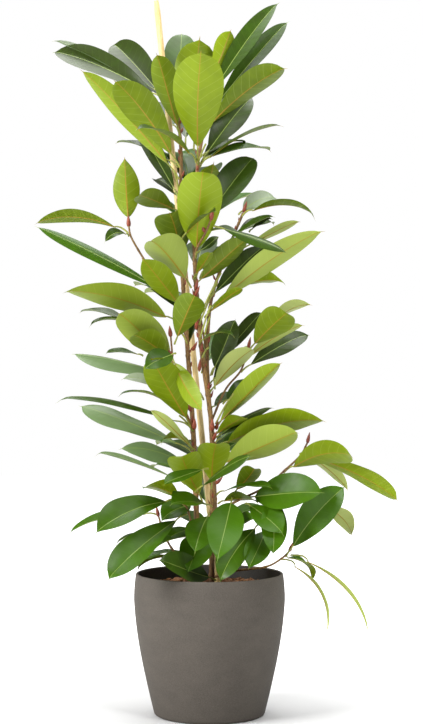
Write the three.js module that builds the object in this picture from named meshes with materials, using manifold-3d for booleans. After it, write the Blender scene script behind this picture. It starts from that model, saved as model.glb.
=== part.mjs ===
// A potted fig: three leafy stems of a broad-leaved ficus around a wooden stake, in a round tapered planter.
// Millimetres, +Z up, origin at the centre of the planter's foot. -Y is the plant's front.
import * as THREE from "three";
import { mergeVertices } from "three/addons/utils/BufferGeometryUtils.js";
import Module from "manifold-3d";

const wasm = await Module();
wasm.setup();

// Driving dimensions.
const POT_HEIGHT = 233;
const POT_RIM_RADIUS = 122;
const POT_BELLY_RADIUS = 125;
const POT_BELLY_HEIGHT = 190;
const POT_FOOT_RADIUS = 92;
const POT_WALL = 4.5;
const POT_FLOOR = 6;
const POT_SEGMENTS = 56;
const SOIL_LEVEL = 209;
const SOIL_MOUND = 5;
const ROOT_DEPTH = 60;
const STAKE_RADIUS = 4.8;
const STAKE_FOOT = [20, 2, SOIL_LEVEL - ROOT_DEPTH];
const STAKE_TOP = [-88.5, 14, 1183];
const LEAF_THICKNESS = 1.3;
const BLADE_RISE = 0.95; // how slowly a blade widens from its foot
const BLADE_FALL = 0.62; // how slowly it narrows to its end
const LEAF_FOLD = 0.16; // rise of a blade's edge over its midrib, as a share of the half width
const PETIOLE_RADIUS = 1.3;
const PETIOLE_SHARE = 0.13; // of the distance from foot to tip
const GAP = 0.35; // clearance kept between neighbouring pieces

const MATERIALS = {
  pot: new THREE.MeshStandardMaterial({ color: "#6f685d", roughness: 0.85, metalness: 0 }),
  soil: new THREE.MeshStandardMaterial({ color: "#3a281d", roughness: 1, metalness: 0 }),
  stake: new THREE.MeshStandardMaterial({ color: "#dcc38e", roughness: 0.7, metalness: 0 }),
  bark: new THREE.MeshStandardMaterial({ color: "#6f5028", roughness: 0.8, metalness: 0 }),
  leaf: new THREE.MeshStandardMaterial({ color: "#5f8a2c", roughness: 0.4, metalness: 0 }),
};

// Each stem is a route of points from the roots to its tip, with its twigs, each a route of its own that
// starts inside the stem. A radius tapers evenly along a route.
const STEMS = {
  left_stem: {
    radii: [5, 2.6],
    route: [[-17, -6, 150], [-19, -8, 260], [-23, -10, 370], [-27, -10, 470], [-36, -12, 600],
      [-43, -12, 700], [-49, -10, 820], [-47, -8, 920], [-52, -4, 985], [-60, 4, 1015]],
    twigs: [
      [[-41, -12, 670], [-79, -20, 706], [-109, -27, 753], [-128, -31, 786], [-132, -31, 803]],
      [[-27, -10, 470], [-45, -34, 516], [-58, -46, 565], [-61, -48, 600], [-63, -48, 623]],
      [[-20, -8, 290], [-30, -24, 320], [-38, -34, 345], [-53, -38, 355]],
      [[-18, -7, 235], [-48, -20, 260], [-65, -26, 281], [-77, -32, 308], [-83, -35, 329]],
    ],
  },
  right_stem: {
    radii: [4.8, 2.6],
    route: [[2, -12, 150], [4, -14, 260], [5, -15, 370], [3, -16, 480], [-13, -18, 600],
      [-22, -18, 700], [-25, -16, 800], [-20, -12, 900], [-11, -5, 960], [-5, 4, 1012]],
    twigs: [
      [[-24, -17, 752], [-20, -44, 768], [-6, -66, 792], [2, -82, 810]],
      [[5, -15, 330], [41, -40, 353], [96, -60, 382], [117, -62, 402], [147, -52, 429], [159, -50, 450]],
      [[3, -13, 226], [40, -26, 239], [91, -36, 247], [116, -40, 260], [130, -42, 273]],
    ],
  },
  back_stem: {
    radii: [4.6, 2.2],
    route: [[8, 16, 150], [10, 18, 260], [8, 20, 370], [2, 20, 480], [-4, 20, 590], [2, 18, 680],
      [20, 14, 740], [40, 12, 792], [56, 8, 830]],
    twigs: [
      [[2, 20, 480], [26, 18, 535], [52, 8, 568], [64, 2, 604]],
      [[-4, 20, 590], [-18, 26, 681], [-26, 30, 782], [-30, 34, 863]],
    ],
  },
};

// Each leaf is [foot, tip, blade width, turn, arch]. Turn says how far the upper side faces the front, in
// degrees: 0 faces the sky, and below 0 shows the underside to the front. Arch is how far the middle of the
// leaf rises off the straight line from foot to tip.
const LEAVES = {
  crown: [
    [[-62, 8, 1009], [-275, 134, 1123], 54, 62, 14],
    [[-62, 14, 1002], [-170, 139, 1139], 56, 66, 10],
    [[-50, -14, 883], [-208, -72, 1058], 44, -40, 10],
    [[-49, -14, 903], [-153, -116, 1033], 58, -54, 10],
    [[-22, -18, 910], [-114, -154, 952], 34, 24, 14],
    [[-20, -18, 913], [-13, -111, 1081], 82, -72, -8],
    [[-50, 12, 975], [-48, 111, 1154], 56, 74, 6],
    [[-6, 8, 1011], [117, 40, 1191], 38, 50, 8],
    [[-6, 8, 986], [135, 66, 1164], 36, 48, 6],
    [[-10, -12, 958], [125, -58, 1063], 52, -40, 20],
    [[-14, -4, 912], [73, 40, 1032], 50, 58, 8],
    [[-16, -6, 904], [120, -32, 972], 36, 4, 12],
  ],
  upper: [
    [[-22, -22, 752], [-9, -124, 892], 72, -76, -12],
    [[-18, -8, 799], [77, 64, 933], 54, 62, 6],
    [[-132, -32, 803], [-138, -44, 917], 44, -74, 4],
    [[-133, -31, 793], [-283, -73, 808], 32, -36, 18],
    [[-52, -8, 686], [-296, 47, 812], 26, 52, 2],
    [[-48, -12, 827], [-116, -90, 851], 44, -52, 8],
    [[-30, -22, 704], [-96, -135, 778], 62, -58, 14],
    [[6, -76, 801], [126, -108, 758], 26, 40, 3],
    [[-3, -20, 664], [185, -87, 797], 46, -46, 16],
    [[-26, -18, 706], [67, -41, 790], 40, -50, 4],
    [[54, 6, 824], [175, -35, 825], 36, -16, 17],
    [[-46, -14, 640], [-235, -101, 696], 62, -40, 22],
    [[-42, -16, 664], [-109, -100, 750], 48, -52, 8],
  ],
  middle: [
    [[-57, -48, 611], [-21, -118, 693], 48, -72, 4],
    [[-50, -18, 560], [-147, -105, 665], 62, -52, 10],
    [[-34, -10, 548], [-232, 36, 599], 34, 34, 8],
    [[66, -2, 602], [128, -69, 664], 56, -58, 6],
    [[52, 10, 565], [170, 59, 633], 44, 46, 8],
    [[3, -14, 466], [117, -81, 585], 38, -44, 8],
    [[-26, -14, 469], [-244, -86, 530], 36, 14, 15],
    [[-26, -6, 432], [-221, 46, 511], 42, 42, 11],
    [[6, -18, 438], [189, -73, 491], 60, -40, 14],
    [[8, -20, 406], [144, -107, 473], 60, -56, 8],
    [[3, -22, 374], [12, -112, 458], 52, -76, 4],
  ],
  lower: [
    [[-53, -38, 355], [-182, -125, 312], 56, 44, 16],
    [[-37, -36, 333], [-161, -161, 242], 54, 42, 12],
    [[59, -48, 360], [179, -129, 378], 64, 62, 6],
    [[126, -42, 267], [215, -112, 385], 54, 62, 8],
    [[120, -60, 402], [230, -121, 435], 58, -50, 16],
    [[147, -52, 431], [307, -78, 358], 38, -44, 12],
    [[132, -42, 267], [257, -114, 148], 16, -34, 26],
    [[38, -42, 363], [12, -152, 272], 58, 64, 8],
    [[59, -48, 352], [117, -123, 312], 46, 48, 6],
  ],
};

// Leaves at the back stand in a spiral, each a turn of BACK_TURN further round and BACK_RISE higher.
const BACK_LEAVES = 8;
const BACK_FIRST = { height: 330, angle: 60 };
const BACK_RISE = 78;
const BACK_TURN = 57;
const BACK_REACH = 205;
const BACK_LIFT = 78;
const BACK_WIDTH = 54;

// A solid from a three.js geometry, with the vertices that its faces share merged.
function solidOf(geometry) {
  const bare = geometry.clone();
  bare.deleteAttribute("normal");
  bare.deleteAttribute("uv");
  const merged = mergeVertices(bare, 1e-3);
  return new wasm.Manifold(new wasm.Mesh({
    numProp: 3,
    vertProperties: merged.attributes.position.array,
    triVerts: new Uint32Array(merged.index.array),
  }));
}

// A named three.js mesh from a solid.
function meshOf(name, solid, material) {
  const { numProp, vertProperties, triVerts } = solid.getMesh();
  const count = vertProperties.length / numProp;
  const positions = new Float32Array(count * 3);
  for (let i = 0; i < count; i++) {
    positions.set(vertProperties.subarray(i * numProp, i * numProp + 3), i * 3);
  }
  const geometry = new THREE.BufferGeometry()
    .setAttribute("position", new THREE.BufferAttribute(positions, 3))
    .setIndex(new THREE.BufferAttribute(new Uint32Array(triVerts), 1));
  geometry.computeVertexNormals();
  const mesh = new THREE.Mesh(geometry, material);
  mesh.name = name;
  return mesh;
}

// The biggest body of a solid, for a piece that a cut left with crumbs.
function biggest(solid) {
  return solid.decompose().reduce((a, b) => (a.volume() > b.volume() ? a : b));
}

// A closed surface through rings of points, with both ends capped by fans.
function skin(rings) {
  const sides = rings[0].length;
  const positions = rings.flat().flatMap((p) => p.toArray());
  const faces = [];
  for (let r = 0; r + 1 < rings.length; r++) {
    for (let i = 0; i < sides; i++) {
      const a = r * sides + i;
      const b = r * sides + ((i + 1) % sides);
      faces.push(a, b, b + sides, a, b + sides, a + sides);
    }
  }
  const last = (rings.length - 1) * sides;
  for (let i = 1; i + 1 < sides; i++) {
    faces.push(0, i + 1, i, last, last + i, last + i + 1);
  }
  return new wasm.Manifold(new wasm.Mesh({
    numProp: 3,
    vertProperties: new Float32Array(positions),
    triVerts: new Uint32Array(faces),
  }));
}

// A tapering round tube along a smooth curve through the points.
function tube(points, [thick, thin], sides = 8, grow = 0) {
  const curve = new THREE.CatmullRomCurve3(points.map((p) => new THREE.Vector3(...p)));
  const steps = (points.length - 1) * 2;
  const frames = curve.computeFrenetFrames(steps);
  const rings = [];
  for (let i = 0; i <= steps; i++) {
    const radius = thick + (thin - thick) * (i / steps) + grow;
    const centre = curve.getPointAt(i / steps);
    rings.push(Array.from({ length: sides }, (_, k) => {
      const angle = (2 * Math.PI * k) / sides;
      return centre.clone()
        .addScaledVector(frames.normals[i], radius * Math.cos(angle))
        .addScaledVector(frames.binormals[i], radius * Math.sin(angle));
    }));
  }
  return skin(rings);
}

// The outside of the pot from its foot to its rim: [radius, height] points, a taper under a round belly.
function potProfile() {
  const points = [[POT_FOOT_RADIUS - 6, 0], [POT_FOOT_RADIUS - 1.6, 1.6], [POT_FOOT_RADIUS + 0.5, 6]];
  const steps = 9;
  for (let i = 1; i <= steps; i++) {
    const t = i / steps;
    const bulge = t + 0.4 * t * (1 - t) * (1 + 0.8 * t);
    points.push([
      POT_FOOT_RADIUS + (POT_BELLY_RADIUS - POT_FOOT_RADIUS) * bulge,
      6 + (POT_BELLY_HEIGHT - 6) * t,
    ]);
  }
  const shoulder = (POT_HEIGHT + POT_BELLY_HEIGHT) / 2;
  points.push([POT_BELLY_RADIUS - 0.8, shoulder], [POT_RIM_RADIUS, POT_HEIGHT - 1]);
  return points;
}

// A solid turned about the vertical axis from [radius, height] points that start and end on it.
function turned(points, segments) {
  const outline = points.map(([radius, height]) => new THREE.Vector2(radius, height));
  return solidOf(new THREE.LatheGeometry(outline, segments).rotateX(Math.PI / 2));
}

function pot() {
  const outside = potProfile();
  const inside = outside.filter(([, z]) => z > POT_FLOOR).map(([r, z]) => [r - POT_WALL, z]);
  const lip = [[POT_RIM_RADIUS - 1.2, POT_HEIGHT], [POT_RIM_RADIUS - POT_WALL + 1.2, POT_HEIGHT]];
  const floor = [[POT_FOOT_RADIUS - POT_WALL - 2, POT_FLOOR], [0, POT_FLOOR]];
  return turned([[0, 0], ...outside, ...lip, ...inside.reverse(), ...floor], POT_SEGMENTS);
}

// Soil fills the pot to just under its rim and mounds a little round the stems.
function soil(cuts) {
  const wall = potProfile().filter(([, z]) => z > POT_FLOOR + GAP && z < SOIL_LEVEL)
    .map(([r, z]) => [r - POT_WALL - GAP * 2, z]);
  const edge = POT_BELLY_RADIUS - POT_WALL - GAP * 4;
  const bottom = [[0, POT_FLOOR + GAP], [POT_FOOT_RADIUS - POT_WALL - 4, POT_FLOOR + GAP]];
  const top = [[edge, SOIL_LEVEL], [edge / 2, SOIL_LEVEL + SOIL_MOUND * 0.7], [0, SOIL_LEVEL + SOIL_MOUND]];
  const filling = turned([...bottom, ...wall, ...top], POT_SEGMENTS / 2);
  return cuts.reduce((left, cut) => left.subtract(cut), filling);
}

function stem({ route, twigs, radii }, grow = 0) {
  const twigRadii = [radii[1] * 0.85, 1.5];
  return twigs.reduce(
    (whole, twig) => whole.add(tube(twig, twigRadii, 6, grow)),
    tube(route, radii, 8, grow),
  );
}

// The half width of a blade at a share of its length, as a share of its full width: narrow at the foot,
// broadest past the middle, with a blunt end that runs out in a short point.
function bladeShape(share) {
  const body = Math.min(share / 0.95, 1);
  const widest = BLADE_RISE / (BLADE_RISE + BLADE_FALL);
  const wedge = Math.pow(body / widest, BLADE_RISE);
  const oval = 0.5 * wedge * Math.pow((1 - body) / (1 - widest), BLADE_FALL);
  const point = 0.035 * Math.min((1 - share) / 0.1, 1);
  return Math.hypot(oval, point);
}

// A leaf is rings of four points, one edge, upper side, other edge and underside, from its foot to its tip.
function leaf([foot, tip, width, turn, arch], grow = 0) {
  const from = new THREE.Vector3(...foot);
  const chord = new THREE.Vector3(...tip).sub(from);
  const along = chord.clone().normalize();
  const angle = THREE.MathUtils.degToRad(turn);
  const up = new THREE.Vector3(0, -Math.sin(angle), Math.cos(angle));
  up.addScaledVector(along, -up.dot(along)).normalize();
  const side = new THREE.Vector3().crossVectors(along, up);
  const shares = [0, 0.6 * PETIOLE_SHARE, PETIOLE_SHARE];
  for (const blade of [0.12, 0.28, 0.45, 0.62, 0.78, 0.9, 0.955, 1]) {
    shares.push(PETIOLE_SHARE + (1 - PETIOLE_SHARE) * blade);
  }
  const rings = shares.map((share) => {
    const blade = (share - PETIOLE_SHARE) / (1 - PETIOLE_SHARE);
    const least = PETIOLE_RADIUS * (blade > 0.9 ? 0.4 : 1);
    const half = Math.max(blade > 0 ? bladeShape(blade) * width : 0, least) + grow;
    const thick = (blade > 0 ? LEAF_THICKNESS / 2 : PETIOLE_RADIUS) + grow;
    const rise = blade > 0 ? half * LEAF_FOLD : 0;
    const centre = from.clone()
      .addScaledVector(chord, share)
      .addScaledVector(up, arch * 4 * share * (1 - share));
    const point = (across, high) => centre.clone().addScaledVector(side, across).addScaledVector(up, high);
    return [point(-half, rise), point(0, thick), point(half, rise), point(0, -thick)];
  });
  return skin(rings);
}

function backLeaves() {
  return Array.from({ length: BACK_LEAVES }, (_, i) => {
    const angle = THREE.MathUtils.degToRad(40 + ((BACK_FIRST.angle + i * BACK_TURN) % 100));
    const height = BACK_FIRST.height + i * BACK_RISE;
    const centre = [5 - (height - 200) * 0.055, 24];
    const out = [Math.cos(angle), Math.sin(angle)];
    const reach = BACK_REACH - i * 5;
    return [
      [centre[0] + out[0] * 6, centre[1] + out[1] * 6, height],
      [centre[0] + out[0] * reach, centre[1] + out[1] * reach, height + BACK_LIFT],
      BACK_WIDTH, 0, 16,
    ];
  });
}

const plant = new THREE.Group();
plant.name = "potted_ficus";
plant.add(meshOf("pot", pot(), MATERIALS.pot));

const stakeRoute = [STAKE_FOOT, STAKE_FOOT.map((v, i) => (v + STAKE_TOP[i]) / 2), STAKE_TOP];
const stakeRadii = [STAKE_RADIUS, STAKE_RADIUS];
const stake = tube(stakeRoute, stakeRadii, 12);
plant.add(meshOf("stake", stake, MATERIALS.stake));

const stems = Object.entries(STEMS).map(([name, shape]) => (
  { name, solid: stem(shape), room: stem(shape, GAP) }
));
for (const { name, solid } of stems) {
  plant.add(meshOf(name, solid, MATERIALS.bark));
}
const rooms = [tube(stakeRoute, stakeRadii, 12, GAP), ...stems.map(({ room }) => room)];
plant.add(meshOf("soil", soil(rooms), MATERIALS.soil));

// Each leaf is cut back to the surface of the stem it grows on, and to any leaf before it that it meets.
const placed = [];
for (const [tier, leaves] of Object.entries({ ...LEAVES, back: backLeaves() })) {
  leaves.forEach((shape, i) => {
    const name = `${tier}_leaf_${String(i + 1).padStart(2, "0")}`;
    const clear = [...rooms, ...placed].reduce((left, cut) => left.subtract(cut), leaf(shape));
    plant.add(meshOf(name, biggest(clear), MATERIALS.leaf));
    placed.push(leaf(shape, GAP));
  });
}

export default plant;
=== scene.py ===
"""A potted fig: three leafy stems and a stake in a round planter, finished for a studio picture."""

import math
import random

import bmesh
import bpy
import numpy as np
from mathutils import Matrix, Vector


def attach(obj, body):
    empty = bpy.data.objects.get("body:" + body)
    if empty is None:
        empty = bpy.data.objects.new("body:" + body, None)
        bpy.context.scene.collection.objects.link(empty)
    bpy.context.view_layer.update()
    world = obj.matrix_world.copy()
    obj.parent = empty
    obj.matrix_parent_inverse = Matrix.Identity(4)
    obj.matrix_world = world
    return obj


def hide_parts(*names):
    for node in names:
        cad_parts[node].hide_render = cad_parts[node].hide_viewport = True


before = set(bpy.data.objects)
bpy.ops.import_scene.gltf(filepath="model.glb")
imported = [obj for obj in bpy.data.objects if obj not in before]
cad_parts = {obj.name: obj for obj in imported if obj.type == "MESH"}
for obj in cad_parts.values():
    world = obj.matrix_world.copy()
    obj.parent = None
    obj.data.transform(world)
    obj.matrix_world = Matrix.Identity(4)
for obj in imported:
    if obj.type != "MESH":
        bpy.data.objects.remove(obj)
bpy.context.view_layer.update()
scene = bpy.context.scene
scene.view_settings.view_transform = "Standard"

MM = 0.001

# --- sizes, in millimetres, as the planter and plant are built ---
POT_HEIGHT = 233
POT_RIM_RADIUS = 122
POT_BELLY_RADIUS = 125
POT_BELLY_HEIGHT = 190
POT_FOOT_RADIUS = 92
POT_WALL = 4.5
POT_FLOOR = 6
SOIL_LEVEL = 209
SOIL_MOUND = 5
STAKE_RADIUS = 4.8
STAKE_FOOT = (20, 2, 149)
STAKE_TOP = (-88.5, 14, 1183)
PETIOLE_SHARE = 0.13  # the stalk's part of the way from a leaf's foot to its tip
SHEET_HALF = 0.25  # half the thickness of a blade
RIB_GROOVE = 0.3
RIB_RIDGE = 0.7
POINT_FROM = 0.95  # where along a blade its oval ends and only the point goes on
POINT_WIDTH = 0.035
STALK_RADIUS = 1.7
STALK_TAPER = 0.14
STALK_SIDES = 8
VEIN_SPACING = 17
VEIN_CURVE = 1.18
VEIN_SWEEP = 0.4
VEIN_WANDER = 14
VEIN_RELIEF = 0.02
SCALES_FROM = 300
SCALE_SPACING = (10, 26)
JOINT_SPACING = (24, 32)
JOINT_SWELLING = 0.22

# --- camera, level and in front of the plant, and its studio ---
CAMERA_PLACE = (3.3, -2850, 582)
CAMERA_LENS = 85.6
CAMERA_SENSOR = 36
FLOOR_RADIUS = 6000
AIR_LIGHT = 0.2

STEMS = {
    "left_stem": {
        "radii": (5, 2.6),
        "route": [(-17, -6, 150), (-19, -8, 260), (-23, -10, 370), (-27, -10, 470), (-36, -12, 600),
                  (-43, -12, 700), (-49, -10, 820), (-47, -8, 920), (-52, -4, 985), (-60, 4, 1015)],
        "twigs": [
            [(-41, -12, 670), (-79, -20, 706), (-109, -27, 753), (-128, -31, 786), (-132, -31, 803)],
            [(-27, -10, 470), (-45, -34, 516), (-58, -46, 565), (-61, -48, 600), (-63, -48, 623)],
            [(-20, -8, 290), (-30, -24, 320), (-38, -34, 345), (-53, -38, 355)],
            [(-18, -7, 235), (-48, -20, 260), (-65, -26, 281), (-77, -32, 308), (-83, -35, 329)],
        ],
    },
    "right_stem": {
        "radii": (4.8, 2.6),
        "route": [(2, -12, 150), (4, -14, 260), (5, -15, 370), (3, -16, 480), (-13, -18, 600),
                  (-22, -18, 700), (-25, -16, 800), (-20, -12, 900), (-11, -5, 960), (-5, 4, 1012)],
        "twigs": [
            [(-24, -17, 752), (-20, -44, 768), (-6, -66, 792), (2, -82, 810)],
            [(5, -15, 330), (41, -40, 353), (96, -60, 382), (117, -62, 402), (147, -52, 429),
             (159, -50, 450)],
            [(3, -13, 226), (40, -26, 239), (91, -36, 247), (116, -40, 260), (130, -42, 273)],
        ],
    },
    "back_stem": {
        "radii": (4.6, 2.2),
        "route": [(8, 16, 150), (10, 18, 260), (8, 20, 370), (2, 20, 480), (-4, 20, 590), (2, 18, 680),
                  (20, 14, 740), (40, 12, 792), (56, 8, 830)],
        "twigs": [
            [(2, 20, 480), (26, 18, 535), (52, 8, 568), (64, 2, 604)],
            [(-4, 20, 590), (-18, 26, 681), (-26, 30, 782), (-30, 34, 863)],
        ],
    },
}

# Each leaf: foot, tip, blade width, turn (how far its upper side faces the front, in degrees: 0 is the sky,
# below 0 shows the underside to the front), arch (rise of the middle over the straight line from foot to
# tip), and where a leaf has habits of its own, those, as habit_of lists them.
# A tone_and_sheen above 1 mixes painted sheen into a leaf's colour: a whitish colour standing for the lamps'
# reflection.
LEAVES = {
    "crown": [
        ((-62, 8, 1009), (-275, 134, 1123), 54, 62, 14, {"tone_and_sheen": 0.0}),
        ((-62, 14, 1002), (-170, 139, 1139), 56, 66, 10, {"tone_and_sheen": 0.0}),
        ((-50, -14, 883), (-208, -72, 1058), 44, -40, 10, {"tone_and_sheen": 1.0}),
        ((-49, -14, 903), (-153, -116, 1033), 58, -54, 10),
        ((-22, -18, 910), (-114, -154, 952), 34, 24, 14),
        ((-20, -18, 913), (-13, -111, 1081), 82, -72, -8,
         {"shape": (0.95, 0.5), "fold": 0.2, "twist": 0.1, "tone_and_sheen": 0.7}),
        ((-50, 12, 975), (-48, 111, 1154), 56, 74, 6),
        ((-6, 8, 1011), (117, 40, 1191), 38, 50, 8, {"hook": 6}),
        ((-6, 8, 986), (135, 66, 1164), 36, 48, 6, {"hook": 6}),
        ((-10, -12, 958), (125, -58, 1063), 52, -40, 20),
        ((-14, -4, 912), (73, 40, 1032), 50, 58, 8),
        ((-16, -6, 904), (120, -32, 972), 36, 4, 12),
    ],
    "upper": [
        ((-22, -22, 752), (-9, -124, 892), 72, -76, -12,
         {"shape": (0.75, 0.4), "fold": 0.25, "twist": 0.05, "tone_and_sheen": 0.95, "hook": 14}),
        ((-18, -8, 799), (77, 64, 933), 54, 62, 6),
        ((-132, -32, 803), (-138, -44, 917), 44, -74, 4, {"shape": (0.85, 0.9), "fold": 0.35, "tone_and_sheen": 0.6}),
        ((-133, -31, 793), (-283, -73, 808), 32, -36, 18, {"fold": 0.15, "tone_and_sheen": 0.4}),
        ((-52, -8, 686), (-296, 47, 812), 26, 52, 2,
         {"shape": (0.9, 0.6), "fold": -0.3, "twist": 0.0, "droop": 0, "hook": 1, "tone_and_sheen": 0.5}),
        ((-48, -12, 827), (-116, -90, 851), 44, -52, 8),
        ((-30, -22, 704), (-96, -135, 778), 62, -58, 14,
         {"shape": (0.95, 0.95), "fold": 0.5, "tone_and_sheen": 1.25}),
        ((6, -76, 801), (126, -108, 758), 26, 40, 3, {"fold": -0.4, "hook": 2}),
        ((-3, -20, 664), (185, -87, 797), 46, -46, 16,
         {"shape": (1.0, 0.75), "fold": 0.15, "twist": 0.0, "tone_and_sheen": 1.3}),
        ((-26, -18, 706), (67, -41, 790), 40, -50, 4, {"shape": (1.0, 0.8), "tone_and_sheen": 0.35}),
        ((54, 6, 824), (175, -35, 825), 36, -16, 17, {"shape": (1.1, 0.7), "hook": 10}),
        ((-46, -14, 640), (-235, -101, 696), 62, -40, 22, {"shape": (0.85, 0.8), "tone_and_sheen": 1.1}),
        ((-42, -16, 664), (-109, -100, 750), 48, -52, 8, {"shape": (1.05, 0.95), "fold": 0.2, "tone_and_sheen": 0.7}),
    ],
    "middle": [
        ((-57, -48, 611), (-21, -118, 693), 48, -72, 4, {"shape": (0.9, 0.6), "tone_and_sheen": 0.3}),
        ((-50, -18, 560), (-147, -105, 665), 62, -52, 10, {"fold": 0.35, "tone_and_sheen": 1.15}),
        ((-34, -10, 548), (-232, 36, 599), 34, 34, 8,
         {"shape": (0.9, 0.6), "fold": -0.7, "twist": 0.0, "hook": 2, "tone_and_sheen": 1.35}),
        ((66, -2, 602), (128, -69, 664), 56, -58, 6, {"shape": (0.85, 0.42), "tone_and_sheen": 0.45}),
        ((52, 10, 565), (170, 59, 633), 44, 46, 8),
        ((3, -14, 466), (117, -81, 585), 38, -44, 8, {"shape": (0.95, 0.7), "fold": 0.6, "tone_and_sheen": 0.8}),
        ((-26, -14, 469), (-244, -86, 530), 36, 14, 15, {"fold": -0.2, "hook": 12}),
        ((-26, -6, 432), (-221, 46, 511), 42, 42, 11,
         {"shape": (0.95, 0.42), "fold": -0.25, "droop": 2, "hook": 2, "tone_and_sheen": 1.35}),
        ((6, -18, 438), (189, -73, 491), 60, -40, 14, {"shape": (0.72, 0.65), "twist": 0.1, "tone_and_sheen": 1.0}),
        ((8, -20, 406), (144, -107, 473), 60, -56, 8, {"shape": (0.85, 0.65), "tone_and_sheen": 1.2}),
        ((3, -22, 374), (12, -112, 458), 52, -76, 4, {"shape": (0.8, 0.4), "tone_and_sheen": 0.9}),
    ],
    "lower": [
        ((-53, -38, 355), (-182, -125, 312), 56, 44, 16),
        ((-37, -36, 333), (-161, -161, 242), 54, 42, 12),
        ((59, -48, 360), (179, -129, 378), 64, 62, 6),
        ((126, -42, 267), (215, -112, 385), 54, 62, 8),
        ((120, -60, 402), (230, -121, 435), 58, -50, 16, {"shape": (0.9, 0.5), "fold": 0.1, "tone_and_sheen": 0.6}),
        ((147, -52, 431), (307, -78, 358), 38, -44, 12,
         {"shape": (0.8, 0.38), "fold": 0.2, "twist": 0.0, "hook": 4, "tone_and_sheen": 0.7}),
        ((132, -42, 267), (257, -114, 148), 16, -34, 26, {"tone_and_sheen": 1.5}),
        ((38, -42, 363), (12, -152, 272), 58, 64, 8, {"shape": (0.8, 0.75), "fold": 0.2, "tone_and_sheen": 0.9}),
        ((59, -48, 352), (117, -123, 312), 46, 48, 6),
    ],
}

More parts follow.
